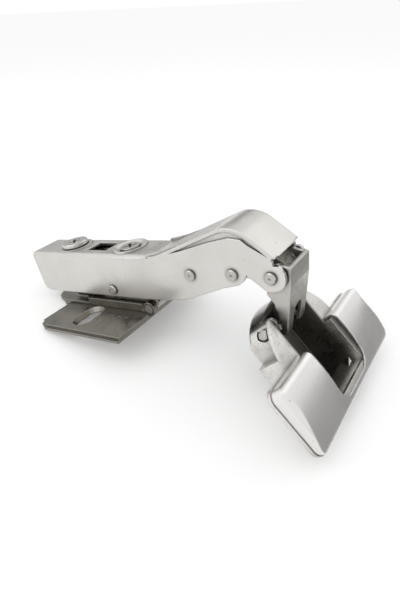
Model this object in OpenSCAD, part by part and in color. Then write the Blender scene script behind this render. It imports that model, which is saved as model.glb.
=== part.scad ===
// Concealed cabinet hinge with a clip-on arm, opened wide. Millimetres.
// X runs from the plate to the cup, Y along the folding axes, Z up from the cabinet side.

/* [Arm] */
// Outside width of the arm
arm_width = 16.5; // [16.5:0.1:16.8]
// Height of the arm's flat top above the cabinet side
arm_top = 25; // [25:0.1:25.4]
// Thickness of the arm's steel
sheet = 1.2; // [1.15:0.05:1.2]
// Radius over the arm's bent top edges
bend_radius = 2; // [1.6:0.1:2.2]
// Slope of the rise, degrees
rise_slope = 19; // [19:0.5:19.5]
// Slope of the front facet, degrees
front_slope = 41; // [40.5:0.5:41.5]
// Radius of the dip at the crease
crease_radius = 14; // [10:1:16]
// Radius over the crown
crown_radius = 12; // [11:0.5:12.5]

/* [Mounting plate] */
// Thickness of the plate
plate_height = 2; // [2:0.1:2.1]
// Distance between the two fixing holes
hole_spacing = 32; // [30:1:34]
// Width of the slotted holes
hole_width = 6.4; // [5.6:0.2:6.4]
// Length of the slotted holes, end to end
hole_length = 11.6; // [10:0.4:12]
// Reach of each wing from the middle
wing_reach = 26.3; // [26.3:0.1:28]

/* [Cup] */
// Diameter of the drawn cup
cup_diameter = 35; // [34.6:0.1:35]
// Depth of the cup below the flange
cup_depth = 14.2; // [14.2:0.1:15]
// Length of the cover over both wings
cover_length = 62; // [60:1:66]
// Width of the cover
cover_width = 22.8; // [22.4:0.2:23]
// Height of the cover's pillowed top
cover_height = 2.5; // [2.4:0.1:2.8]

/* [Screws] */
// Head diameter of the depth screw
depth_head = 10.8; // [10.4:0.1:11]
// Diameter of the overlay screw's thread
overlay_thread = 7.4; // [7:0.1:7.4]

/* [Hidden] */
$fn = 48;
fit = 0.05;
gap = 0.3;
over = 0.5;
half = 0.5;
quarter = 0.25;
arm_half = arm_width * half;
wall_inner = arm_half - sheet;
arm_rear = -34.5;
arm_front = 85.1;
arm_foot = 7.2;
arm_size = [arm_front - arm_rear, 28];
crease_x = 36;
peak_x = 70.1;
lip_end = 82.9;
lip_depth = 3;
band_recess = 0.6;
peak_z = arm_top + (peak_x - crease_x) * tan(rise_slope);
crease_run = crease_radius * tan(rise_slope * half);
crown_run = crown_radius * tan((rise_slope + front_slope) * half);
rise = [cos(rise_slope), sin(rise_slope)];
fall = [cos(front_slope), -sin(front_slope)];
crease_end = [crease_x, arm_top] + crease_run * rise;
crown_start = [peak_x, peak_z] - crown_run * rise;
crown_end = [peak_x, peak_z] + crown_run * fall;
crown_centre = crown_start + crown_radius * [sin(rise_slope), -cos(rise_slope)];
rise_length = norm(crown_start - crease_end);
front_length = (lip_end - crown_end[0]) / cos(front_slope);
lever_axis = [10.4, 10.5];
spring_axis = [50.8, 19];
inner_axis = [67.3, 20];
outer_axis = [80.5, 19.6];
rivet_radius = 1.5;
rivet_head = 2;
rivet_proud = 1;
rivet_dome = 0.35;
punch_radius = 0.55;
punch_depth = 0.3;
nose_radius = 4.7;
depth_x = -14;
overlay_x = 18;
window_x = 2.5;
window_length = 11;
window_width = 7.6;
cup_tilt = 55;
cup_origin = [89, -4];
cup_radius = cup_diameter * half;
cup_turn = [cos(cup_tilt), sin(cup_tilt)];
outer_pivot = [-12.25, -6.5];
inner_pivot = [-8.28, -10.31];
outer_low = cup_origin + [cup_turn[0] * outer_pivot[0] + cup_turn[1] * outer_pivot[1],
    cup_turn[0] * outer_pivot[1] - cup_turn[1] * outer_pivot[0]];
inner_low = cup_origin + [cup_turn[0] * inner_pivot[0] + cup_turn[1] * inner_pivot[1],
    cup_turn[0] * inner_pivot[1] - cup_turn[1] * inner_pivot[0]];
pin_radius = 1;
pin_head = 1.8;
pin_seat = 2.6;
link_half = 6.6;
link_sheet = 1.1;
link_inner = link_half - link_sheet;
link_from = [74, -2.5];
link_size = [13, 27];
pack_plate = 1.1;
pack_gap = 0.06;
pack_pitch = pack_plate + pack_gap;
pack_half = pack_pitch * 2;
slot_half = 2.8;
slot_top = 7.8;
inner_eye = 1.9;
inner_hub = 4;
fork_turn = 41;
leaf_turn = 4;
inner_from = [65, -5];
inner_size = [17, 30];
floor_sheet = 1;
floor_level = floor_sheet - cup_depth;
wall_room = 2.5;
link_room = -5.5;
pocket_end = 14.6;
pocket_mouth = 17.2;
pocket_low = 7.6;
pocket_high = 10.4;
rim_radius = 17.9;
rim_level = -2.5;
rim_sheet = 1.3;
side_flat = 13;
flange_level = rim_level - rim_sheet;
flange_lip = 0.3;
cover_start = -1;
cover_round = 2.2;
cover_corner = 3.2;
cover_sheet = 1;
arch_radius = 48;
arch_centre = 5;
opening_half = 11;
opening_end = 18.8;
opening_corner = 5;
plate_x0 = -20;
plate_x1 = 27;
plate_chamfer = 5;
plate_foot = 0.9;
plate_step = 0.9;
saddle_half = 8.6;
saddle_sheet = 1.2;
saddle_base = plate_height + fit;
saddle_top = saddle_base + saddle_sheet;
saddle_x0 = -24;
saddle_x1 = 24;
flange_top = 5.4;
hook_x = 27.4;
hook_z = 3.8;
hook_outer = 2.8;
mark_run = 6.4;
mark_pitch = 3.8;
axle_radius = 1.7;
carriage_half = 6.7;
carriage_sheet = 1.1;
carriage_x0 = -31;
carriage_x1 = 30;
carriage_share = 0.93;
carriage_top = 22.5;
carriage_length = (carriage_x1 - carriage_x0) * carriage_share;
washer_height = 1;
washer_radius = 6.2;
cam_neck = 3.4;
cam_pin = 1.3;
cam_throw = 2.5;
cam_gap = 0.35;
tilt_room = 1.1;
slide_room = 2.6;
collar_radius = 6.8;
collar_rise = 0.7;
cross_width = 1.1;
cross_length = 5.2;
cross_depth = 1.2;
height_cam_x = 2.5;
clamp_x = -10.2;
height_throw = 2.2;
mark_width = 0.3;
mark_depth = 0.2;

// Points given as shares of a box
function placed(shares, from, size) =
    [for (s = shares) [from[0] + s[0] * size[0], from[1] + s[1] * size[1]]];

// A flat outline in X and Z, drawn between two Y stations
module plate_between(y0, y1) {
    translate([0, y1, 0]) rotate([90, 0, 0]) linear_extrude(height = y1 - y0) children();
}

module both_sides() {
    children();
    mirror([0, 1, 0]) children();
}

// A round bar along Y
module bar(at, r, y0, y1) {
    translate([at[0], y0, at[1]]) rotate([-90, 0, 0]) cylinder(r = r, h = y1 - y0);
}

// A section in Y and Z, drawn along X
module along_x(length) {
    rotate([90, 0, 90]) linear_extrude(height = length) children();
}

// A slot along Y, upright
module slot_y(width, length, z0, z1) {
    reach = (length - width) * half;
    for (s = [-1, 1]) translate([0, s * reach, z0]) cylinder(d = width, h = z1 - z0);
    translate([-width * half, -reach, z0]) cube([width, 2 * reach, z1 - z0]);
}

module slot_x(width, length, z0, z1) {
    rotate([0, 0, 90]) slot_y(width, length, z0, z1);
}

// A riveted head with its centre punch, outward along -Y from the given station
module rivet_head(at, r, y) {
    difference() {
        union() {
            bar(at, r, y - rivet_proud + rivet_dome, y);
            translate([at[0], y - rivet_proud + rivet_dome, at[1]])
                rotate([90, 0, 0]) cylinder(r1 = r, r2 = r - rivet_dome, h = rivet_dome);
        }
        translate([at[0], y - rivet_proud - fit, at[1]]) rotate([-90, 0, 0])
            cylinder(r1 = punch_radius, r2 = punch_radius * quarter, h = punch_depth + fit);
    }
}

module cross_recess(z) {
    for (a = [45, 135]) translate([0, 0, z - cross_depth]) rotate([0, 0, a])
        translate([-cross_length * half, -cross_width * half, 0])
            cube([cross_length, cross_width, cross_depth + over]);
}

// Top sheet of the arm

// Bent section of the flat part, top at zero
module bent_section(inset) {
    r = bend_radius - inset;
    w = arm_half - inset;
    core = arm_half - bend_radius;
    translate([-w, -lip_depth - inset]) square([2 * w, lip_depth + inset - bend_radius]);
    translate([-core, -bend_radius - fit]) square([2 * core, r + fit]);
    for (s = [-1, 1]) translate([s * core, -bend_radius]) circle(r = r);
}

module channel_section() {
    difference() {
        bent_section(0);
        bent_section(sheet);
    }
}

// Plain sheet over the rise and the crown
module crown_section() {
    translate([-arm_half, -sheet]) square([arm_width, sheet]);
}

module arm_sheet() {
    translate([arm_rear, 0, arm_top]) along_x(crease_x - crease_run - arm_rear) channel_section();
    translate([crease_x - crease_run, 0, arm_top + crease_radius]) rotate([90, 0, 0])
        rotate([0, 0, -90]) rotate_extrude(angle = rise_slope)
            translate([crease_radius, 0]) rotate(90) crown_section();
    translate([crease_end[0], 0, crease_end[1]]) rotate([0, -rise_slope, 0]) translate([-fit, 0, 0])
        along_x(rise_length + 2 * fit) crown_section();
    translate([crown_centre[0], 0, crown_centre[1]]) rotate([90, 0, 0])
        rotate([0, 0, 90 - front_slope]) rotate_extrude(angle = rise_slope + front_slope)
            translate([crown_radius, 0]) rotate(-90) crown_section();
    translate([crown_end[0], 0, crown_end[1]]) rotate([0, front_slope, 0]) translate([-fit, 0, 0])
        along_x(front_length + fit) crown_section();
}

wall_shares = [[0, 0.55], [0, 0.1], [0.006, 0.035], [0.025, 0.004], [0.075, 0], [0.51, 0.018],
    [0.602, 0.036], [0.685, 0.082], [0.816, 0.279], [0.865, 0.329], [0.882, 0.38], [0.894, 0.461],
    [0.897, 0.432], [0.907, 0.411], [0.944, 0.279], [0.962, 0.27], [1, 0.443], [1, 0.5], [0.972, 0.614],
    [0.967, 0.66], [0.913, 0.8], [0.895, 0.868], [0.857, 0.886], [0.793, 0.832], [0.695, 0.721],
    [0.625, 0.657], [0.578, 0.62], [0.5, 0.58]];
band_shares = [[0.56, 0.56], [0.56, 0.655], [0.63, 0.71], [0.82, 0.944], [0.872, 0.968], [0.905, 0.915],
    [0.938, 0.79], [0.93, 0.66], [0.86, 0.8], [0.7, 0.66]];

module arm_wall() {
    difference() {
        union() {
            plate_between(-arm_half, -wall_inner) {
                polygon(placed(wall_shares, [arm_rear, arm_foot], arm_size));
                translate(outer_axis) circle(r = nose_radius);
            }
            plate_between(-arm_half + band_recess, -wall_inner)
                polygon(placed(band_shares, [arm_rear, arm_foot], arm_size));
        }
        for (p = [lever_axis, spring_axis, inner_axis, outer_axis])
            bar(p, rivet_radius, -arm_half - over, -wall_inner + over);
    }
}

module arm() {
    color("silver") difference() {
        union() {
            arm_sheet();
            both_sides() arm_wall();
            translate([overlay_x, 0, arm_top - fit]) cylinder(r = collar_radius, h = collar_rise + fit);
            translate([depth_x, 0, 0]) slot_x(2 * washer_radius + sheet, 2 * washer_radius + 2 * sheet,
                arm_top - fit, arm_top + rivet_dome);
        }
        translate([window_x - window_length * half, -window_width * half, arm_top - sheet - over])
            cube([window_length, window_width, sheet + 2 * over]);
        translate([depth_x, 0, 0]) slot_x(depth_head - sheet, depth_head + sheet,
            arm_top - sheet - over, arm_top + over);
        translate([overlay_x, 0, arm_top - sheet - over])
            cylinder(d = overlay_thread + 2 * fit, h = sheet + collar_rise + 2 * over);
        translate([overlay_x, 0, arm_top + collar_rise - sheet]) cylinder(r1 = overlay_thread * half + fit,
            r2 = collar_radius - rivet_dome, h = sheet + fit);
        both_sides() translate([lip_end - sheet, -arm_half - over, arm_top - sheet - over])
            cube([2 * sheet, over + 2 * sheet, 2 * sheet]);
    }
}

module through_pin(at) {
    color("gainsboro") {
        bar(at, rivet_radius, -arm_half - fit, arm_half + fit);
        both_sides() rivet_head(at, rivet_head, -arm_half);
    }
}

module lever_pin() {
    through_pin(lever_axis);
}

module spring_pin() {
    through_pin(spring_axis);
}

module inner_link_pin() {
    through_pin(inner_axis);
}

module outer_link_pins() {
    color("gainsboro") both_sides() {
        bar(outer_axis, rivet_radius, -arm_half - fit, -link_inner);
        rivet_head(outer_axis, rivet_head, -arm_half);
    }
}

// Spacer sleeves each side of the inner link on its pin
module link_spacers() {
    color("darkgray") both_sides() difference() {
        bar(inner_axis, inner_hub * half + pin_radius, -wall_inner, -pack_half - gap * half);
        bar(inner_axis, rivet_radius, -arm_half, 0);
    }
}

// Links

link_shares = [[0.25, 0.585], [0.41, 0.456], [0.51, 0.2], [0.49, 0.125], [0.4, 0.1], [0.35, 0.19],
    [0.277, 0.24], [0.2, 0.252], [0.05, 0.18], [0.1, 0.115], [0.26, 0.07], [0.43, 0.052], [0.55, 0.056],
    [0.61, 0.075], [0.646, 0.137], [0.777, 0.407], [0.908, 0.685], [0.965, 0.915], [0.87, 0.925],
    [0.615, 0.952]];
web_shares = [[0.646, 0.137], [0.777, 0.407], [0.908, 0.685], [0.965, 0.915], [0.87, 0.925],
    [0.823, 0.685], [0.692, 0.415], [0.56, 0.141], [0.52, 0.07], [0.61, 0.075]];

module outer_link() {
    color("lightgray") difference() {
        union() {
            both_sides() plate_between(-link_half, -link_inner) {
                polygon(placed(link_shares, link_from, link_size));
                translate(outer_axis) circle(r = nose_radius - gap * 2);
                translate(outer_low) circle(r = 2 * pin_radius);
            }
            plate_between(-link_half, link_half) polygon(placed(web_shares, link_from, link_size));
        }
        bar(outer_axis, rivet_radius + fit, -arm_half, arm_half);
        bar(outer_low, pin_radius + fit, -arm_half, arm_half);
        translate([outer_low[0] + gap, -slot_half, link_from[1] - over])
            cube([link_size[0], 2 * slot_half, slot_top - slot_half - link_from[1] + over]);
        translate([outer_low[0] + gap, 0, slot_top - slot_half]) rotate([0, 90, 0])
            cylinder(r = slot_half, h = link_size[0]);
    }
}

inner_shares = [[0.135, 0.967], [0.59, 0.93], [0.87, 0.807], [0.924, 0.683], [0.912, 0.5], [0.88, 0.383],
    [0.76, 0.24], [0.7, 0.153], [0.745, 0.063], [0.525, 0.063], [0.53, 0.153], [0.582, 0.253],
    [0.706, 0.407], [0.76, 0.483], [0.73, 0.587], [0.61, 0.687], [0.135, 0.7]];

module inner_outline() {
    polygon(placed(inner_shares, inner_from, inner_size));
    translate(inner_axis) circle(r = inner_hub);
    translate(inner_low) circle(r = inner_eye);
}

// Four plates side by side; the middle two stop short of the lug on the cup's floor
module inner_link() {
    color("silver") for (i = [-2:1]) difference() {
        plate_between(i * pack_pitch + pack_gap * half, (i + 1) * pack_pitch - pack_gap * half)
            inner_outline();
        bar(inner_axis, rivet_radius + fit, -arm_half, arm_half);
        bar(inner_low, pin_radius + gap, -arm_half, arm_half);
        translate([inner_low[0], -arm_half, inner_low[1]]) rotate([0, fork_turn, 0])
            translate([0, 0, -pin_radius - gap]) cube([2 * inner_eye, arm_width, 2 * pin_radius + 2 * gap]);
        if (i == -1 || i == 0) bar(inner_low, 3 * inner_eye, -arm_half, arm_half);
    }
}

// Leaf spring looped over its pin and pressing on the inner link's hub
module closing_spring() {
    color("dimgray") difference() {
        plate_between(-link_inner + pack_gap, link_inner - pack_gap) {
            translate(spring_axis) circle(r = rivet_radius + sheet);
            translate(spring_axis + [0, rivet_radius]) rotate(leaf_turn)
                square([inner_axis[0] - spring_axis[0] - inner_hub - 2 * gap, sheet]);
        }
        bar(spring_axis, rivet_radius, -arm_half, arm_half);
    }
}

// Cup

module in_cup() {
    translate([cup_origin[0], 0, cup_origin[1]]) rotate([0, cup_tilt, 0]) children();
}

// Drawn outside with a rounded floor edge and flat sides by the pivots
module cup_drawn() {
    intersection() {
        union() {
            cylinder_at(cup_radius, cover_round - cup_depth, rim_level);
            translate([0, 0, cover_round - cup_depth]) rotate_extrude() {
                translate([cup_radius - cover_round, 0]) intersection() {
                    circle(r = cover_round);
                    translate([0, -cover_round]) square(cover_round);
                }
            }
            cylinder_at(cup_radius - cover_round, -cup_depth, -cup_depth * half);
        }
        union() {
            translate([-pin_radius * 4, -cup_diameter, -cup_depth - over])
                cube([cup_diameter, 2 * cup_diameter, 2 * cup_depth]);
            translate([-cup_diameter, -side_flat, -cup_depth - over])
                cube([cup_diameter, 2 * side_flat, 2 * cup_depth]);
        }
    }
}

// Tapered well between the pivots and the far end, wider at the mouth
module cup_well() {
    intersection() {
        union() {
            cylinder_at(cup_radius - flange_lip, -cup_depth, cup_depth);
            translate([-cup_diameter, -cup_radius, -cup_depth])
                cube([cup_diameter, cup_diameter, 2 * cup_depth]);
            translate([-cup_radius, -cup_radius, flange_level]) cube([2 * cup_diameter, cup_diameter, cup_depth]);
        }
        plate_between(-cup_radius, cup_radius) polygon([[-cup_radius + wall_room, floor_level],
            [pocket_end, floor_level], [pocket_end, -cup_depth * half], [pocket_mouth, rim_level + rim_sheet],
            [pocket_mouth, over], [-rim_radius - over, over], [-rim_radius - over, link_room],
            [-cup_radius + wall_room, link_room - over]]);
        along_x_centre(cup_diameter * 2) polygon([[-pocket_low, floor_level - over],
            [pocket_low, floor_level - over], [pocket_high, 0], [pocket_high, over], [-pocket_high, over],
            [-pocket_high, 0]]);
    }
}

module along_x_centre(length) {
    translate([-length * half, 0, 0]) along_x(length) children();
}

module cup() {
    color("lightgray") in_cup() difference() {
        union() {
            cup_drawn();
            cylinder_at(rim_radius, flange_level, rim_level);
            translate([0, 0, flange_level]) linear_extrude(height = rim_sheet) cover_plan(flange_lip);
            translate([0, 0, rim_level - fit]) linear_extrude(height = fit - rim_level) intersection() {
                opening_plan(cover_sheet - fit);
                cover_plan(-cover_sheet - fit);
            }
            translate([inner_pivot[0], -pin_radius, floor_level - fit])
                lug();
        }
        difference() {
            cup_well();
            translate([inner_pivot[0], -pin_radius, floor_level - fit]) lug();
        }
        difference() {
            cylinder_at(cup_radius + flange_lip, flange_level - over, flange_level + flange_lip * half);
            cup_drawn();
        }
        bar(inner_pivot, pin_radius, -pack_half, pack_half);
        bar(outer_pivot, pin_radius, -cup_radius, cup_radius);
        both_sides() translate([outer_pivot[0], -side_flat - over, outer_pivot[1]]) rotate([-90, 0, 0])
            cylinder(r = pin_seat, h = over + 2 * pin_radius);
    }
}

// Upright lug that carries the inner link's lower pin
module lug() {
    rise_up = inner_pivot[1] - floor_level;
    translate([-inner_eye, 0, 0]) cube([2 * inner_eye, 2 * pin_radius, rise_up]);
    translate([0, 0, rise_up + fit]) rotate([-90, 0, 0]) cylinder(r = inner_eye, h = 2 * pin_radius);
}

// The pins' ends are dressed to the cup's round wall, so that they drop through the same hole
module cup_pins() {
    color("gainsboro") in_cup() intersection() {
        both_sides() {
            bar(outer_pivot, pin_radius, -side_flat + fit, -link_inner);
            bar(outer_pivot, pin_head, -side_flat + fit, -side_flat + sheet);
        }
        cylinder_at(cup_radius - fit, -cup_depth, cup_depth);
    }
}

module inner_cup_pin() {
    color("gainsboro") in_cup() bar(inner_pivot, pin_radius, -pack_half, pack_half);
}

// Outline of the cover with rounded corners, grown outward
module cover_plan(grow) {
    x0 = cover_start - grow;
    x1 = cover_start + cover_width + grow;
    y1 = cover_length * half + grow;
    r = cover_corner + grow;
    translate([x0 + r, -y1]) square([x1 - x0 - 2 * r, 2 * y1]);
    translate([x0, -y1 + r]) square([x1 - x0, 2 * y1 - 2 * r]);
    for (x = [x0 + r, x1 - r], y = [-y1 + r, y1 - r]) translate([x, y]) circle(r = r);
}

// Outline of the opening for the links, grown outward
module opening_plan(grow) {
    y1 = opening_half + grow;
    x1 = opening_end + grow;
    r = opening_corner + grow;
    x0 = cover_start - over;
    translate([x0, -y1]) square([x1 - r - x0, 2 * y1]);
    translate([x0, -y1 + r]) square([x1 - x0, 2 * y1 - 2 * r]);
    for (s = [-1, 1]) translate([x1 - r, s * (y1 - r)]) circle(r = r);
}

// Arched block with rounded long edges and ends
module cover_block() {
    r = cover_round;
    u0 = cover_start + r;
    u1 = cover_start + cover_width - r;
    y1 = cover_length * half;
    core = arch_radius - r;
    low = cover_height - arch_radius;
    n0 = low + sqrt(core * core - (u0 - arch_centre) * (u0 - arch_centre));
    n1 = low + sqrt(core * core - (u1 - arch_centre) * (u1 - arch_centre));
    edge0 = arch_centre + (u0 - arch_centre) * arch_radius / core;
    edge1 = arch_centre + (u1 - arch_centre) * arch_radius / core;
    intersection() {
        plate_between(-y1, y1) {
            intersection() {
                translate([arch_centre, low]) circle(r = arch_radius, $fn = 200);
                translate([edge0, rim_level]) square([edge1 - edge0, cover_height - rim_level]);
            }
            translate([u0 - r, rim_level]) square([u1 - u0 + 2 * r, n1 - rim_level]);
            translate([u0 - r, rim_level]) square([r, n0 - rim_level]);
            translate([u0, n0]) circle(r = r);
            translate([u1, n1]) circle(r = r);
        }
        along_x_centre(cup_diameter * 2) {
            translate([-y1, rim_level]) square([2 * y1, cover_height - r - rim_level]);
            translate([-y1 + r, rim_level]) square([2 * y1 - 2 * r, cover_height - rim_level]);
            for (y = [-y1 + r, y1 - r]) translate([y, cover_height - r]) circle(r = r);
        }
        translate([0, 0, rim_level - over]) linear_extrude(height = cup_depth) cover_plan(0);
    }
}

// Room inside the shell, open below
module cover_cavity() {
    y1 = cover_length * half - cover_sheet;
    intersection() {
        plate_between(-y1, y1) intersection() {
            translate([arch_centre, cover_height - arch_radius]) circle(r = arch_radius - cover_sheet, $fn = 200);
            translate([cover_start, rim_level - over]) square([cover_width, cup_depth]);
        }
        translate([0, 0, rim_level - over]) linear_extrude(height = cup_depth) cover_plan(-cover_sheet);
    }
}

// Pressed shell over both wings, turned down around the opening
module cup_cover() {
    color("silver") in_cup() difference() {
        cover_block();
        difference() {
            cover_cavity();
            linear_extrude(height = cover_height) opening_plan(cover_sheet);
        }
        translate([0, 0, rim_level - over]) linear_extrude(height = cup_depth) opening_plan(0);
    }
}

// Mounting plate

module plate_outline(grow) {
    x0 = plate_x0 - grow * half;
    x1 = plate_x1;
    y1 = wing_reach + grow;
    polygon([[x0, -y1 + plate_chamfer * half], [x0 + plate_chamfer, -y1], [x1, -y1], [x1, y1],
        [x0 + plate_chamfer, y1], [x0, y1 - plate_chamfer * half]]);
    translate([saddle_x0, -saddle_half]) square([saddle_x1 - saddle_x0 + over, 2 * saddle_half]);
}

module base_plate() {
    color("darkgray") difference() {
        union() {
            linear_extrude(height = plate_foot) plate_outline(plate_step);
            linear_extrude(height = plate_height) plate_outline(0);
        }
        for (s = [-1, 1]) translate([0, s * hole_spacing * half, 0]) {
            slot_y(hole_width, hole_length, -over, plate_height + over);
            sink();
        }
        translate([height_cam_x, 0, 0]) slot_x(2 * rivet_radius + 2 * cam_gap,
            2 * height_throw + 2 * rivet_radius + 2 * cam_gap, plate_foot * half, plate_height + over);
        both_sides() {
            for (i = [0:2]) translate([mark_run + i * mark_pitch, -wing_reach + mark_pitch,
                plate_height - mark_depth]) cube([mark_width, mark_run, mark_depth + over]);
            for (i = [0:2]) translate([lever_axis[0] + i * mark_pitch, -wing_reach * half - rivet_proud,
                plate_height - mark_depth]) cube([cross_width * 2, mark_width, mark_depth + over]);
        }
        bar_z([clamp_x, 0], rivet_radius, -over, plate_height + over);
    }
}

// Countersink around a slotted hole
module sink() {
    reach = (hole_length - hole_width) * half;
    low = plate_height * quarter;
    wide = hole_width * half + plate_height - low;
    for (s = [-1, 1]) translate([0, s * reach, low])
        cylinder(r1 = hole_width * half, r2 = wide + over, h = plate_height - low + over);
    rotate([90, 0, 0]) translate([0, 0, -reach]) linear_extrude(height = 2 * reach)
        polygon([[-hole_width * half, low], [hole_width * half, low],
            [wide + over, plate_height + over], [-wide - over, plate_height + over]]);
}

module bar_z(at, r, z0, z1) {
    translate([at[0], at[1], z0]) cylinder(r = r, h = z1 - z0);
}

// Rivet that holds the saddle down and lets it slide along Y
module clamp_rivet() {
    color("gainsboro") {
        bar_z([clamp_x, 0], rivet_radius, 0, saddle_top + fit);
        bar_z([clamp_x, 0], 2 * rivet_radius, saddle_top + fit, saddle_top + fit + rivet_proud * half);
    }
}

module height_saddle() {
    color("darkgray") difference() {
        union() {
            translate([saddle_x0, -saddle_half, saddle_base])
                cube([saddle_x1 - saddle_x0, 2 * saddle_half, saddle_sheet]);
            translate([saddle_x0, 0, saddle_base]) intersection() {
                cylinder(r = saddle_half - over, h = saddle_sheet);
                translate([-2 * saddle_half, -saddle_half, -over]) cube([2 * saddle_half + over,
                    2 * saddle_half, saddle_base + over]);
            }
            both_sides() translate([saddle_x0 + 2 * saddle_half, -saddle_half, saddle_base])
                cube([saddle_x1 - saddle_x0 - 2 * saddle_half, saddle_sheet, flange_top - saddle_base]);
            both_sides() {
                bar([hook_x, hook_z], hook_outer, -saddle_half - over, -carriage_half - fit);
                translate([saddle_x1 - over, -saddle_half - over, hook_z - hook_outer])
                    cube([hook_x - saddle_x1 + over, saddle_half + over - carriage_half - fit, saddle_sheet
                        + saddle_base + fit - hook_z + hook_outer]);
            }
        }
        bar([hook_x, hook_z], axle_radius, -saddle_half - 2 * over, saddle_half + 2 * over);
        translate([height_cam_x, 0, 0]) cylinder(r = cross_length * half + height_throw * half + fit,
            h = arm_foot);
        translate([clamp_x, 0, 0])
            slot_y(2 * rivet_radius + 2 * cam_gap, 2 * rivet_radius + 2 * slide_room, 0, arm_foot);
        translate([plate_x1 + half * fit, -wing_reach, -over]) mirror([1, 0, 0])
            cube([plate_x1 * half, 2 * wing_reach, plate_height + over + fit]);
    }
}

module height_cam() {
    r = cross_length * half + height_throw * half;
    color("gainsboro") translate([height_cam_x, 0, 0]) difference() {
        union() {
            cylinder_at(r, saddle_base, saddle_top + rivet_dome);
            cylinder_at(r + over, saddle_top + fit, saddle_top + rivet_proud);
            translate([height_throw, 0, 0])
                cylinder_at(rivet_radius, plate_foot, saddle_base + fit);
        }
        translate([0, 0, saddle_top + rivet_proud]) cross_low();
    }
}

module cross_low() {
    for (a = [0, 90]) rotate([0, 0, a]) translate([-cross_length * half, -cross_width * half, -rivet_proud])
        cube([cross_length, cross_width, rivet_proud + over]);
}

module cylinder_at(r, z0, z1) {
    translate([0, 0, z0]) cylinder(r = r, h = z1 - z0);
}

// Carriage inside the arm

module carriage_room(at, r) {
    both_sides() translate([at[0], -carriage_half - over, at[1]]) rotate([-90, 0, 0]) {
        for (s = [-1, 1]) translate([s * slide_room, 0, 0])
            cylinder(r = r + tilt_room, h = carriage_sheet + 2 * over);
        translate([-slide_room, -r - tilt_room, 0])
            cube([2 * slide_room, 2 * r + 2 * tilt_room, carriage_sheet + 2 * over]);
    }
}

carriage_shares = [[0, 0.4], [0.04, 0.35], [0.5, 0.35], [0.56, 0.08], [0.64, 0], [0.9, 0],
    [1, 0.06], [1, 0.22], [carriage_share, 0.4],
    [carriage_share, 1], [0, 1]];

module clip_carriage() {
    low = saddle_top + fit;
    color("darkgray") difference() {
        union() {
            both_sides() plate_between(-carriage_half, -carriage_half + carriage_sheet)
                polygon(placed(carriage_shares, [carriage_x0, low],
                    [carriage_x1 - carriage_x0, carriage_top - low - bend_radius * half]));
            both_sides() plate_between(-carriage_half, -carriage_half + carriage_sheet)
                translate([carriage_x0, carriage_top - bend_radius])
                    square([carriage_length, bend_radius - sheet * half]);
            translate([carriage_x0, -carriage_half + sheet * half, carriage_top - carriage_sheet])
                cube([carriage_length, 2 * carriage_half - sheet, carriage_sheet]);
            both_sides() translate([carriage_x0, -carriage_half + sheet * half, carriage_top - sheet * half])
                along_x(carriage_length) circle(r = sheet * half);
        }
        carriage_room(lever_axis, rivet_radius);
        bar([hook_x, hook_z], axle_radius, -saddle_half, saddle_half);
        translate([depth_x, 0, 0]) slot_y(2 * cam_pin + 2 * cam_gap, 2 * cam_throw + 2 * cam_pin + 2 * cam_gap,
            carriage_top - carriage_sheet - over, carriage_top + over);
        translate([overlay_x, 0, 0]) slot_x(cross_length + 2 * rivet_dome, cross_length + 2 * slide_room
            + 2 * rivet_dome, carriage_top - carriage_sheet - over, carriage_top + over);
        translate([window_x - window_length * half, -window_width * half, carriage_top - 2 * sheet])
            cube([window_length, window_width, 3 * sheet]);
    }
}

module clip_axle() {
    color("gainsboro") bar([hook_x, hook_z], axle_radius, -saddle_half - over, saddle_half + over);
}

module cam_washer() {
    z0 = carriage_top + fit;
    color("gainsboro") translate([depth_x, 0, 0]) difference() {
        cylinder_at(washer_radius, z0, z0 + washer_height);
        cylinder_at(cam_neck + fit, z0 - over, z0 + washer_height + over);
    }
}

module depth_cam() {
    z0 = carriage_top + fit;
    head = arm_top + rivet_dome + gap;
    color("gainsboro") translate([depth_x, 0, 0]) difference() {
        union() {
            cylinder_at(depth_head * half, head, head + sheet);
            translate([0, 0, head + sheet]) cylinder(r1 = depth_head * half, r2 = depth_head * half - rivet_dome,
                h = rivet_dome);
            cylinder_at(cam_neck, carriage_top + fit * half, head + fit);
            translate([0, cam_throw, 0]) cylinder_at(cam_pin, carriage_top - 2 * sheet, z0);
        }
        cross_recess(head + sheet + rivet_dome);
    }
}

module overlay_screw() {
    top = arm_top + collar_rise;
    color("gainsboro") translate([overlay_x, 0, 0]) difference() {
        union() {
            cylinder_at(overlay_thread * half, arm_top - sheet - rivet_dome, top);
            cylinder_at(cross_length * half, carriage_top - 2 * sheet - tilt_room, arm_top - sheet);
            cylinder_at(cross_length * half + rivet_proud, carriage_top - 2 * sheet - tilt_room - rivet_proud,
                carriage_top - 2 * sheet - tilt_room);
        }
        cross_recess(top);
        for (i = [1:2]) translate([0, 0, arm_top - 2 * sheet + i * cross_width]) difference() {
            cylinder(d = overlay_thread + over, h = mark_width);
            translate([0, 0, -over]) cylinder(d = overlay_thread - 2 * mark_width, h = mark_width + 2 * over);
        }
    }
}

// Release lever

lever_half = 5.1;
lever_sheet = 1;
lever_from = [-18, 4.2];
lever_size = [32, 9];
foot_length = 9.6;
lever_shares = [[0, 0.02], [0.3, 0.02], [0.5, 0.3], [0.8, 0.32], [1, 0.5], [1, 0.85], [0.85, 1],
    [0.6, 0.75], [0.3, 0.55], [0.05, 0.5]];

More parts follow.
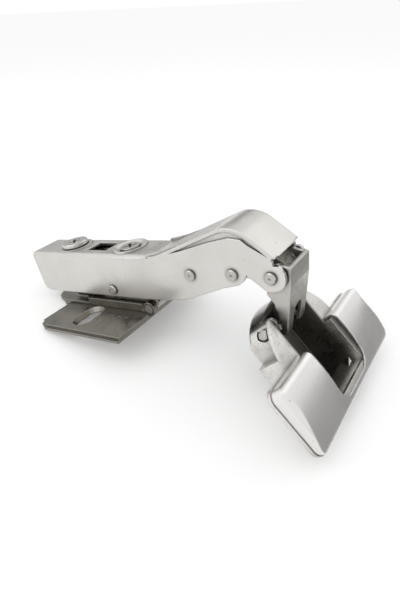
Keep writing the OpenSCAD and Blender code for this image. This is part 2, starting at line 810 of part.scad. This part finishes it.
module release_lever() {
    color("darkgray") difference() {
        union() {
            both_sides() plate_between(-lever_half, -lever_half + lever_sheet)
                polygon(placed(lever_shares, lever_from, lever_size));
            translate([lever_from[0], -lever_half, lever_from[1]])
                cube([foot_length, 2 * lever_half, lever_sheet]);
            both_sides() translate([lever_from[0] + over, -carriage_half - fit, lever_from[1]])
                cube([foot_length - 2 * over, carriage_half - lever_half + sheet, lever_sheet]);
        }
        bar(lever_axis, rivet_radius + fit, -arm_half, arm_half);
    }
}

// Leaf that pushes the lever back down
module lever_spring() {
    color("dimgray") difference() {
        plate_between(-lever_half + lever_sheet + fit, lever_half - lever_sheet - fit) {
            translate(lever_axis) circle(r = rivet_radius + lever_sheet * half);
            translate(lever_axis + [0, rivet_radius]) rotate(leaf_turn * 2)
                square([lever_size[1], lever_sheet * half]);
        }
        bar(lever_axis, rivet_radius, -arm_half, arm_half);
    }
}

base_plate();
clamp_rivet();
height_saddle();
height_cam();
clip_carriage();
clip_axle();
cam_washer();
depth_cam();
arm();
overlay_screw();
lever_pin();
release_lever();
lever_spring();
spring_pin();
closing_spring();
inner_link_pin();
link_spacers();
outer_link_pins();
outer_link();
inner_link();
cup();
cup_pins();
inner_cup_pin();
cup_cover();
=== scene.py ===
"""Finish, light and camera for the concealed cabinet hinge. The CAD frame gives every form."""
import math
import bpy
from mathutils import Euler, Matrix, Vector

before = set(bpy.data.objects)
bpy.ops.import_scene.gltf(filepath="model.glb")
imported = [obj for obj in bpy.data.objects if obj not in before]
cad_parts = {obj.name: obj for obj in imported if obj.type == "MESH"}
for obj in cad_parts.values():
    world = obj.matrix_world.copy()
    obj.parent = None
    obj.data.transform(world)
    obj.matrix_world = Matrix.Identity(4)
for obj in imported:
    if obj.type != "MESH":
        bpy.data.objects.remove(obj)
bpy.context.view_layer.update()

# Lengths are in metres, in the frame of the CAD: Z is up, X runs to the cup

# The cup's well, along the cup's own directions. A pair is where a mask starts and is full.
CUP_LONG_WAY = (0.573576, 0.0, -0.819152)
CUP_MOUTH_WAY = (0.819152, 0.0, 0.573576)
CUP_WIDE_WAY = (0.0, 1.0, 0.0)
MOUTH_LEVEL = 0.07061
WELL_MIDDLE = 0.05432
WELL_DEPTH_FADE = (-0.0038, -0.0008)
WELL_LENGTH_FADE = (0.0164, 0.0171)
WELL_WIDTH_FADE = (0.0102, 0.0109)

# Tones that the layers of a finish bring
RUBBED_BRIGHT = (0.86, 0.85, 0.83)
PIT_DARK = (0.2, 0.185, 0.17)
SCRATCH_BRIGHT = (0.83, 0.82, 0.8)
FLECK_DARK = (0.24, 0.225, 0.2)
GRIME_BROWN = (0.3, 0.26, 0.21)
# Painted shade laid in the cup's well
WELL_SHADE_DARK = (0.13, 0.122, 0.108)
# Painted shade: the dark laid into corners and crevices where occlusion closes the surface in
CREVICE_SHADE_DARK = (0.075, 0.066, 0.055)

# How strongly a layer tints the finish, and how much rougher it makes it
PIT_SHARE = 0.5
PIT_ROUGHER = 0.25
SCRATCH_SHARE = 0.35
SCRATCH_ROUGHER = 0.12
FLECK_ROUGHER = 0.2
GRIME_ROUGHER = 0.12
CREVICE_SHADE_ROUGHER = 0.25
SMOOTHEST = 0.08

# Relief of the surface
PIT_RELIEF = 0.5
SCRATCH_RELIEF = 0.15
RELIEF_STRENGTH = 0.55
RELIEF_DEPTH = 0.00006

# The floor passes under the plate's rear edge and the cup's lowest edge, each given as X and Z
REAR_EDGE = (-0.0205, 0.0)
LOW_EDGE = (0.0893, -0.0252)
FLOOR_PITCH = math.atan2(REAR_EDGE[1] - LOW_EDGE[1], LOW_EDGE[0] - REAR_EDGE[0])
FLOOR_SINK = 0.0002
FLOOR_SIZE = 60.0
FLOOR_WHITE = 0.9
FLOOR_GLOW = 0.19
CARD_CLEARANCE = 0.0008
ROOM_LIGHT = 0.85
ROOM_WHITE = 1.0

# The photo's own viewpoint, solved from the hinge's known sizes
CAMERA_PLACE = (0.1412721, -0.1119936, 0.0749839)
CAMERA_RIGHT = Vector((0.8045821, 0.5499581, -0.2240396))
CAMERA_DOWN = Vector((0.0833928, -0.4781709, -0.8742987))
CAMERA_AHEAD = Vector((-0.5879568, 0.6847618, -0.4305903))
SENSOR_WIDTH_MM = 36.0
LENS_MM = 27.0
CLIP_RANGE = (0.005, 20.0)


# Helpers that place and link shader nodes
class Wiring:
    """Adds nodes to one shader tree and links their sockets."""

    def __init__(self, tree):
        self.tree = tree

    def add(self, kind, **settings):
        """A new node of this kind with its settings."""
        node = self.tree.nodes.new(kind)
        for name, value in settings.items():
            setattr(node, name, value)
        return node

    def feed(self, node, name, value):
        """Links a socket to another node's output, or sets it to a number, direction or colour."""
        socket = node.inputs[name]
        if isinstance(value, bpy.types.NodeSocket):
            self.tree.links.new(value, socket)
        elif socket.type == "RGBA":
            socket.default_value = (*value, 1.0)
        else:
            socket.default_value = value

    def maths(self, operation, first, second=0.0):
        """One sum on numbers."""
        node = self.add("ShaderNodeMath", operation=operation)
        self.feed(node, 0, first)
        self.feed(node, 1, second)
        return node.outputs[0]

    def vector_maths(self, operation, first, second):
        """One sum on directions. A dot product gives a number, and any other sum a direction."""
        node = self.add("ShaderNodeVectorMath", operation=operation)
        self.feed(node, 0, first)
        self.feed(node, 1, second)
        return node.outputs["Value" if operation == "DOT_PRODUCT" else "Vector"]

    def span(self, value, low, high, to_low=0.0, to_high=1.0):
        """The value's stretch from low to high, laid onto to_low to to_high and held there."""
        node = self.add("ShaderNodeMapRange", interpolation_type="SMOOTHSTEP")
        self.feed(node, "Value", value)
        self.feed(node, "From Min", low)
        self.feed(node, "From Max", high)
        self.feed(node, "To Min", to_low)
        self.feed(node, "To Max", to_high)
        return node.outputs["Result"]

    def blend(self, share, first, second):
        """The second colour laid over the first by a share."""
        node = self.add("ShaderNodeMix", data_type="RGBA")
        share_socket, first_socket, second_socket, colour_socket = 0, 6, 7, 2
        self.feed(node, share_socket, share)
        self.feed(node, first_socket, first)
        self.feed(node, second_socket, second)
        return node.outputs[colour_socket]

    def noise(self, where, scale, detail, roughness):
        """Uneven values about one half."""
        node = self.add("ShaderNodeTexNoise")
        self.feed(node, "Vector", where)
        self.feed(node, "Scale", scale)
        self.feed(node, "Detail", detail)
        self.feed(node, "Roughness", roughness)
        return node.outputs["Fac"]

    def stretched(self, where, scale):
        """The place with each axis scaled by itself."""
        node = self.add("ShaderNodeMapping")
        self.feed(node, "Vector", where)
        self.feed(node, "Scale", scale)
        return node.outputs["Vector"]

    def effect(self, group, **values):
        """Places an effect group with its own values, and gives its outputs."""
        node = self.add("ShaderNodeGroup", node_tree=group)
        for name, value in values.items():
            self.feed(node, name, value)
        return node.outputs


def effect_group(name, inputs, outputs):
    """A new shader group. An input whose default is None is a vector, and so is the output Normal."""
    group = bpy.data.node_groups.new(name, "ShaderNodeTree")
    for socket_name, default in inputs.items():
        kind = "NodeSocketVector" if default is None else "NodeSocketFloat"
        socket = group.interface.new_socket(socket_name, in_out="INPUT", socket_type=kind)
        if default is not None:
            socket.default_value = default
    for socket_name in outputs:
        kind = "NodeSocketVector" if socket_name == "Normal" else "NodeSocketFloat"
        group.interface.new_socket(socket_name, in_out="OUTPUT", socket_type=kind)
    wires = Wiring(group)
    return wires, wires.add("NodeGroupInput").outputs, wires.add("NodeGroupOutput")


# Effects that the finishes share
def plating_clouds():
    """Slow unevenness of the plating: one value for tone and one for sheen."""
    wires, given, result = effect_group(
        "Plating clouds", {"Vector": None, "Size": 0.02}, ["Tone", "Sheen"])
    other_place = (0.3, 0.7, 0.1)
    scale = wires.maths("DIVIDE", 1.0, given["Size"])
    moved = wires.vector_maths("ADD", given["Vector"], other_place)
    wires.feed(result, "Tone", wires.noise(given["Vector"], scale, detail=4.0, roughness=0.6))
    wires.feed(result, "Sheen", wires.noise(moved, scale, detail=2.0, roughness=0.5))
    return wires.tree


def sheet_grain():
    """Fine drawn grain of rolled sheet: close lines along one direction, as a height."""
    wires, given, result = effect_group("Sheet grain", {"Vector": None, "Pitch": 0.0003}, ["Height"])
    line_stretch = (0.03, 0.6, 1.0)
    grit_coarseness = 0.35
    line_part = 0.6
    grit_part = 0.5
    scale = wires.maths("DIVIDE", 1.0, given["Pitch"])
    along = wires.stretched(given["Vector"], line_stretch)
    lines = wires.noise(along, scale, detail=2.0, roughness=0.6)
    grit_scale = wires.maths("MULTIPLY", scale, grit_coarseness)
    grit = wires.noise(given["Vector"], grit_scale, detail=3.0, roughness=0.7)
    line_height = wires.maths("MULTIPLY", lines, line_part)
    grit_height = wires.maths("MULTIPLY", grit, grit_part)
    wires.feed(result, "Height", wires.maths("ADD", line_height, grit_height))
    return wires.tree


def fine_pits():
    """Scattered pits of a chosen size. Share is how many of the cells carry one."""
    wires, given, result = effect_group(
        "Fine pits", {"Vector": None, "Spacing": 0.001, "Share": 0.2, "Size": 0.25}, ["Mask"])
    smallest = 0.4
    soft_from = 0.6
    cells = wires.add("ShaderNodeTexVoronoi")
    wires.feed(cells, "Vector", given["Vector"])
    wires.feed(cells, "Scale", wires.maths("DIVIDE", 1.0, given["Spacing"]))
    chance = wires.add("ShaderNodeSeparateColor")
    wires.feed(chance, "Color", cells.outputs["Color"])
    chosen = wires.maths("LESS_THAN", chance.outputs[0], given["Share"])
    size_share = wires.span(chance.outputs[1], 0.0, 1.0, smallest, 1.0)
    reach = wires.maths("MULTIPLY", given["Size"], size_share)
    spot = wires.span(wires.maths("DIVIDE", cells.outputs["Distance"], reach), soft_from, 1.0, 1.0, 0.0)
    wires.feed(result, "Mask", wires.maths("MULTIPLY", spot, chosen))
    return wires.tree


def hairlines():
    """Sparse hairline scratches, turned by Turn, broken up along their length."""
    wires, given, result = effect_group(
        "Hairlines", {"Vector": None, "Turn": 0.4, "Pitch": 0.0016}, ["Mask"])
    line_stretch = (0.04, 0.5, 1.0)
    line_middle = 0.5
    line_width = 0.012
    patch_scale = 260.0
    patch_range = (0.55, 0.72)
    turned = wires.add("ShaderNodeVectorRotate", rotation_type="Y_AXIS")
    wires.feed(turned, "Vector", given["Vector"])
    wires.feed(turned, "Angle", given["Turn"])
    scale = wires.maths("DIVIDE", 1.0, given["Pitch"])
    along = wires.stretched(turned.outputs[0], line_stretch)
    lines = wires.noise(along, scale, detail=0.0, roughness=0.5)
    off_middle = wires.maths("ABSOLUTE", wires.maths("SUBTRACT", lines, line_middle))
    hair = wires.span(off_middle, 0.0, line_width, 1.0, 0.0)
    broken = wires.noise(given["Vector"], patch_scale, detail=3.0, roughness=0.55)
    patches = wires.span(broken, *patch_range)
    wires.feed(result, "Mask", wires.maths("MULTIPLY", hair, patches))
    return wires.tree


def rubbed_edges_and_shade():
    """Where the surface turns or closes in: rubbed edges, softened normal, and a mask for painted shade
    that darkens the corners where it closes in.
    """
    wires, given, result = effect_group(
        "Rubbed edges and crevice shade", {"Radius": 0.0003, "Depth": 0.0011}, ["Mask", "Normal", "Crevice shade"])
    closed_in = (0.38, 0.97)
    turning = (0.86, 0.995)
    openness = wires.add("ShaderNodeAmbientOcclusion", samples=4)
    wires.feed(openness, "Distance", given["Depth"])
    soft = wires.add("ShaderNodeBevel", samples=4)
    wires.feed(soft, "Radius", given["Radius"])
    flat = wires.add("ShaderNodeNewGeometry")
    likeness = wires.vector_maths("DOT_PRODUCT", soft.outputs["Normal"], flat.outputs["Normal"])
    # Painted shade: the mask is full where occlusion closes the surface in, for darkening corners and
    # crevices
    wires.feed(result, "Crevice shade", wires.span(openness.outputs["AO"], *closed_in, 1.0, 0.0))
    wires.feed(result, "Mask", wires.span(likeness, *turning, 1.0, 0.0))
    wires.feed(result, "Normal", soft.outputs["Normal"])
    return wires.tree


def cup_well_shade():
    """Where the cup's well lies, from the cup's own directions: painted shade darkens it there."""
    wires, given, result = effect_group("Cup well shade", {"Vector": None}, ["Mask"])

    def along(direction, start):
        reach = wires.vector_maths("DOT_PRODUCT", given["Vector"], direction)
        return wires.maths("SUBTRACT", reach, start)

    below = wires.span(along(CUP_MOUTH_WAY, MOUTH_LEVEL), *WELL_DEPTH_FADE, 1.0, 0.0)
    lengthways = wires.maths("ABSOLUTE", along(CUP_LONG_WAY, WELL_MIDDLE))
    sideways = wires.maths("ABSOLUTE", along(CUP_WIDE_WAY, 0.0))
    in_length = wires.span(lengthways, *WELL_LENGTH_FADE, 1.0, 0.0)
    in_width = wires.span(sideways, *WELL_WIDTH_FADE, 1.0, 0.0)
    inside = wires.maths("MULTIPLY", in_length, in_width)
    wires.feed(result, "Mask", wires.maths("MULTIPLY", below, inside))
    return wires.tree


CLOUDS = plating_clouds()
GRAIN = sheet_grain()
PITS = fine_pits()
HAIRS = hairlines()
EDGES_AND_SHADE = rubbed_edges_and_shade()
WELL_SHADE = cup_well_shade()


# Finishes
class Coat:
    """The colour and roughness of a finish while its layers are laid on."""

    def __init__(self, wires, colour, rough):
        self.wires = wires
        self.colour = colour
        self.rough = rough

    def lay(self, mask, share, tint, rougher=0.0):
        """Tints the coat where the mask is, and makes it rougher there."""
        wires = self.wires
        self.colour = wires.blend(wires.maths("MULTIPLY", mask, share), self.colour, tint)
        if rougher:
            self.rough = wires.maths("ADD", self.rough, wires.maths("MULTIPLY", mask, rougher))


def new_material(name):
    """A material that uses nodes, with its wiring and its Principled shader."""
    material = bpy.data.materials.new(name)
    material.use_nodes = True
    return material, Wiring(material.node_tree), material.node_tree.nodes["Principled BSDF"]


def pitting(wires, place, spacing, share, size):
    """Small pits with a few larger ones among them."""
    wider = 4.3
    fewer = 0.5
    slimmer = 0.4
    small = wires.effect(PITS, Vector=place, Spacing=spacing, Share=share, Size=size)["Mask"]
    large = wires.effect(PITS, Vector=place, Spacing=spacing * wider, Share=share * fewer,
                         Size=size * slimmer)["Mask"]
    return wires.maths("MAXIMUM", small, large)


def scratching(wires, place, strength):
    """Hairlines in two directions."""
    lines = wires.effect(HAIRS, Vector=place, Turn=0.35)["Mask"]
    cross = wires.effect(HAIRS, Vector=place, Turn=1.9, Pitch=0.0024)["Mask"]
    return wires.maths("MULTIPLY", wires.maths("MAXIMUM", lines, cross), strength)


def speckling(wires, place):
    """Dark flecks close together, in patches."""
    patch_scale = 420.0
    patch_range = (0.42, 0.62)
    flecks = wires.effect(PITS, Vector=place, Spacing=0.00055, Share=0.55, Size=0.42)["Mask"]
    patch = wires.span(wires.noise(place, patch_scale, detail=3.0, roughness=0.55), *patch_range)
    return wires.maths("MULTIPLY", flecks, patch)


def soiling(wires, place):
    """Broad patches of grime."""
    patch_scale = 150.0
    patch_range = (0.48, 0.68)
    return wires.span(wires.noise(place, patch_scale, detail=4.0, roughness=0.65), *patch_range)


def plated(name, base, dark, rough, bevel=0.0003, cloud=0.016, tone_depth=0.5, pits=0.18,
           pit_spacing=0.0011, speckle=0.0, grime=0.0, hair=0.5, crevice_shade=0.75, depth=0.0011, well_shade=0.0):
    """Satin nickel plate over stamped steel.

    It has clouds between base and dark, sheet grain, pits, hairlines and rubbed edges of radius bevel.
    crevice_shade is how much painted shade darkens its corners and depth how far it reaches; speckle
    and grime add flecks and grime, and well_shade lays painted shade in the cup's well.
    """
    middle = (0.3, 0.7)
    sheen_share = (0.8, 1.25)
    grain_relief = 0.03
    grain_pitch = 0.00022
    edge_light = 0.25
    pit_size = 0.24
    material, wires, shader = new_material(name)
    place = wires.add("ShaderNodeTexCoord").outputs["Object"]
    clouds = wires.effect(CLOUDS, Vector=place, Size=cloud)
    rubbed_and_shade = wires.effect(EDGES_AND_SHADE, Radius=bevel, Depth=depth)
    marks = pitting(wires, place, pit_spacing, pits, pit_size)
    hairs = scratching(wires, place, hair)

    tone = wires.maths("MULTIPLY", wires.span(clouds["Tone"], *middle), tone_depth)
    sheen = wires.span(clouds["Sheen"], *middle, rough * sheen_share[0], rough * sheen_share[1])
    coat = Coat(wires, wires.blend(tone, base, dark), sheen)
    coat.lay(rubbed_and_shade["Mask"], edge_light, RUBBED_BRIGHT)
    coat.lay(marks, PIT_SHARE, PIT_DARK, PIT_ROUGHER)
    coat.lay(hairs, SCRATCH_SHARE, SCRATCH_BRIGHT, SCRATCH_ROUGHER)
    if speckle:
        coat.lay(speckling(wires, place), speckle, FLECK_DARK, FLECK_ROUGHER)
    if grime:
        coat.lay(soiling(wires, place), grime, GRIME_BROWN, GRIME_ROUGHER)
    # Painted shade: the cup's well darkened by where it lies
    if well_shade:
        coat.lay(wires.effect(WELL_SHADE, Vector=place)["Mask"], well_shade, WELL_SHADE_DARK)
    # Painted shade: corners and crevices darkened where occlusion closes the surface in
    coat.lay(rubbed_and_shade["Crevice shade"], crevice_shade, CREVICE_SHADE_DARK, CREVICE_SHADE_ROUGHER * crevice_shade)

    grain = wires.effect(GRAIN, Vector=place, Pitch=grain_pitch)["Height"]
    height = wires.maths("MULTIPLY", grain, grain_relief)
    height = wires.maths("SUBTRACT", height, wires.maths("MULTIPLY", marks, PIT_RELIEF))
    height = wires.maths("SUBTRACT", height, wires.maths("MULTIPLY", hairs, SCRATCH_RELIEF))
    relief = wires.add("ShaderNodeBump")
    wires.feed(relief, "Strength", RELIEF_STRENGTH)
    wires.feed(relief, "Distance", RELIEF_DEPTH)
    wires.feed(relief, "Height", height)
    wires.feed(relief, "Normal", rubbed_and_shade["Normal"])
    wires.feed(shader, "Base Color", coat.colour)
    wires.feed(shader, "Roughness", wires.maths("MAXIMUM", coat.rough, SMOOTHEST))
    wires.feed(shader, "Normal", relief.outputs["Normal"])
    wires.feed(shader, "Metallic", 1.0)
    return material


def arm_nickel():
    """Even plating with painted shade in the corners under the crank and round the rivets."""
    return plated("Arm nickel", base=(0.66, 0.645, 0.615), dark=(0.58, 0.565, 0.535), rough=0.3,
                  bevel=0.0006, depth=0.0015, crevice_shade=0.9)


def link_nickel():
    """Plating of the links, a little grimy; its colour is darkened as painted shade, standing in for
    the shadowed floor it reflects.
    """
    return plated("Link nickel", base=(0.5, 0.485, 0.455), dark=(0.4, 0.385, 0.36), rough=0.28,
                  bevel=0.0008, pits=0.25, grime=0.15, depth=0.002, crevice_shade=0.45)


def plate_nickel():
    """Plating of the mounting plate and what slides on it, its colour darkened as painted shade for the
    shade under the arm and the dark things it reflects.
    """
    return plated("Plate nickel", base=(0.235, 0.222, 0.195), dark=(0.165, 0.155, 0.137), rough=0.28,
                  bevel=0.0004, cloud=0.011, pits=0.3, pit_spacing=0.0009, grime=0.2)


def pin_nickel():
    """Rivets and axles, with painted shade where a head meets its wall."""
    return plated("Pin nickel", base=(0.52, 0.505, 0.48), dark=(0.4, 0.385, 0.36), rough=0.26,
                  bevel=0.00018, cloud=0.004, pits=0.1, depth=0.0018, crevice_shade=0.95)


def screw_nickel():
    """Screws and their washer, handled and grimy."""
    return plated("Screw nickel", base=(0.66, 0.645, 0.62), dark=(0.5, 0.48, 0.455), rough=0.24,
                  bevel=0.0002, cloud=0.005, pits=0.1, grime=0.2)


def cup_nickel():
    """Speckled bright wall outside, and painted shade darkening the well inside."""
    return plated("Cup nickel", base=(0.76, 0.75, 0.725), dark=(0.62, 0.605, 0.58), rough=0.26,
                  cloud=0.009, pits=0.35, pit_spacing=0.0008, speckle=0.65, grime=0.3,
                  depth=0.006, crevice_shade=0.6, well_shade=0.88)


def cover_nickel():
    """The cleanest and brightest piece, with few marks."""
    return plated("Cover nickel", base=(0.82, 0.805, 0.79), dark=(0.75, 0.735, 0.715), rough=0.27,
                  bevel=0.0008, cloud=0.02, tone_depth=0.35, pits=0.08, hair=0.3)


def spring_steel():
    """Grey leaves of the two springs."""
    return plated("Spring steel", base=(0.36, 0.35, 0.335), dark=(0.25, 0.24, 0.23), rough=0.32,
                  bevel=0.0002, pits=0.1)


WORN_BY = {
    arm_nickel: ["arm"],
    link_nickel: ["outer_link", "inner_link", "link_spacers"],
    plate_nickel: ["base_plate", "height_saddle", "clip_carriage", "release_lever"],
    pin_nickel: ["lever_pin", "spring_pin", "inner_link_pin", "outer_link_pins", "cup_pins",
                 "inner_cup_pin", "clip_axle", "clamp_rivet"],
    screw_nickel: ["depth_cam", "overlay_screw", "height_cam", "cam_washer"],
    cup_nickel: ["cup"],
    cover_nickel: ["cup_cover"],
    spring_steel: ["lever_spring", "closing_spring"],
}


def dress_hinge():
    """Gives each finish to the CAD nodes that wear it."""
    for make_finish, node_names in WORN_BY.items():
        finish = make_finish()
        for node_name in node_names:
            for material_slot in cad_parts[node_name].material_slots:
                material_slot.material = finish


# Floor and surroundings
def seen_plainly(wires):
    """1 for rays that show the white ground: from the camera, off metal, through clear things."""
    rays = wires.add("ShaderNodeLightPath").outputs
    direct = wires.maths("MAXIMUM", rays["Is Camera Ray"], rays["Is Glossy Ray"])
    return wires.maths("MAXIMUM", direct, rays["Is Transmission Ray"])


def floor_finish():
    """White floor that keeps the object's shadow, clear from below."""
    material, wires, gloss = new_material("White floor")
    wires.tree.nodes.remove(gloss)
    matt = wires.add("ShaderNodeBsdfDiffuse")
    wires.feed(matt, "Color", (FLOOR_WHITE,) * 3)
    glow = wires.add("ShaderNodeEmission")
    wires.feed(glow, "Strength", wires.maths("MULTIPLY", seen_plainly(wires), FLOOR_GLOW))
    both = wires.add("ShaderNodeAddShader")
    wires.feed(both, 0, matt.outputs[0])
    wires.feed(both, 1, glow.outputs[0])
    by_side = wires.add("ShaderNodeMixShader")
    wires.feed(by_side, 0, wires.add("ShaderNodeNewGeometry").outputs["Backfacing"])
    wires.feed(by_side, 1, both.outputs[0])
    wires.feed(by_side, 2, wires.add("ShaderNodeBsdfTransparent").outputs[0])
    wires.feed(wires.tree.nodes["Material Output"], "Surface", by_side.outputs[0])
    return material


def add_floor():
    bpy.ops.mesh.primitive_plane_add(size=FLOOR_SIZE)
    floor = bpy.context.object
    floor.name = "floor"
    floor.rotation_euler = (0.0, FLOOR_PITCH, 0.0)
    floor.location = (REAR_EDGE[0], 0.0, REAR_EDGE[1] - FLOOR_SINK)
    floor.data.materials.append(floor_finish())


def add_world():
    """A plain white room, a little dimmer as light than as it is seen."""
    world = bpy.data.worlds.new("Soft room")
    bpy.context.scene.world = world
    world.use_nodes = True
    wires = Wiring(world.node_tree)
    ground = world.node_tree.nodes["Background"]
    wires.feed(ground, "Color", (1.0, 1.0, 1.0))
    wires.feed(ground, "Strength", wires.span(seen_plainly(wires), 0.0, 1.0, ROOM_LIGHT, ROOM_WHITE))


def add_card(name, place, turn, width, height, grey):
    """A grey card that only the metal sees: it shades the finish and leaves the ground white."""
    bpy.ops.mesh.primitive_plane_add(size=1.0)
    card = bpy.context.object
    card.name = name
    card.scale = (width, height, 1.0)
    card.location = place
    card.rotation_mode = "QUATERNION"
    card.rotation_quaternion = turn
    material, wires, shader = new_material(name)
    wires.feed(shader, "Base Color", (grey,) * 3)
    wires.feed(shader, "Roughness", 1.0)
    card.data.materials.append(material)
    card.visible_camera = False
    card.visible_diffuse = False
    card.visible_shadow = False


def add_standing_card(name, towards, distance, width, height, grey, around=(0.0, 0.0, 0.0)):
    """A card that faces the point around, from the given direction."""
    way = Vector(towards).normalized()
    add_card(name, Vector(around) + way * distance, (-way).to_track_quat("Z", "Y"), width, height, grey)


def add_lying_card(name, x, y, width, height, grey):
    """A card just above the pitched floor."""
    level = REAR_EDGE[1] + CARD_CLEARANCE - (x - REAR_EDGE[0]) * math.tan(FLOOR_PITCH)
    add_card(name, (x, y, level), Euler((0.0, FLOOR_PITCH, 0.0)).to_quaternion(), width, height, grey)


def add_lamp(name, towards, size, power, distance=0.8, aim=(0.03, 0.0, 0.01)):
    """A square soft lamp in the given direction from the object."""
    lamp = bpy.data.objects.new(name, bpy.data.lights.new(name, "AREA"))
    lamp.data.size = size
    lamp.data.energy = power
    way = Vector(towards).normalized()
    lamp.location = Vector(aim) + way * distance
    lamp.rotation_mode = "QUATERNION"
    lamp.rotation_quaternion = (-way).to_track_quat("-Z", "Y")
    bpy.context.scene.collection.objects.link(lamp)


def add_studio():
    """Floor, room, the cards that shade the metal, and two soft lamps."""
    add_floor()
    add_world()
    add_standing_card("side card", (0.8, 0.6, -0.22), distance=0.16, width=0.6, height=0.085,
                      grey=0.42, around=(0.09, 0.0, 0.0))
    add_lying_card("floor card", x=0.254, y=0.1, width=0.3, height=0.4, grey=0.33)
    add_lying_card("rear floor card", x=-0.07, y=0.12, width=0.14, height=0.14, grey=0.42)
    add_standing_card("back card", (-0.6, 0.72, 0.37), distance=1.0, width=1.5, height=0.3, grey=0.44)
    add_lamp("key", (-0.3, -0.6, 1.0), size=0.7, power=1.2)
    add_lamp("nose light", (0.345, 0.685, 0.643), size=0.5, power=0.2)


# Camera
def add_camera():
    """The photo's viewpoint and lens."""
    turn = Matrix((CAMERA_RIGHT, -CAMERA_DOWN, -CAMERA_AHEAD)).transposed()
    camera = bpy.data.objects.new("camera", bpy.data.cameras.new("camera"))
    bpy.context.scene.collection.objects.link(camera)
    camera.matrix_world = Matrix.Translation(CAMERA_PLACE) @ turn.to_4x4()
    camera.data.sensor_width = SENSOR_WIDTH_MM
    camera.data.lens = LENS_MM
    camera.data.clip_start, camera.data.clip_end = CLIP_RANGE
    bpy.context.scene.camera = camera


dress_hinge()
add_studio()
add_camera()
bpy.context.scene.view_settings.view_transform = "Standard"
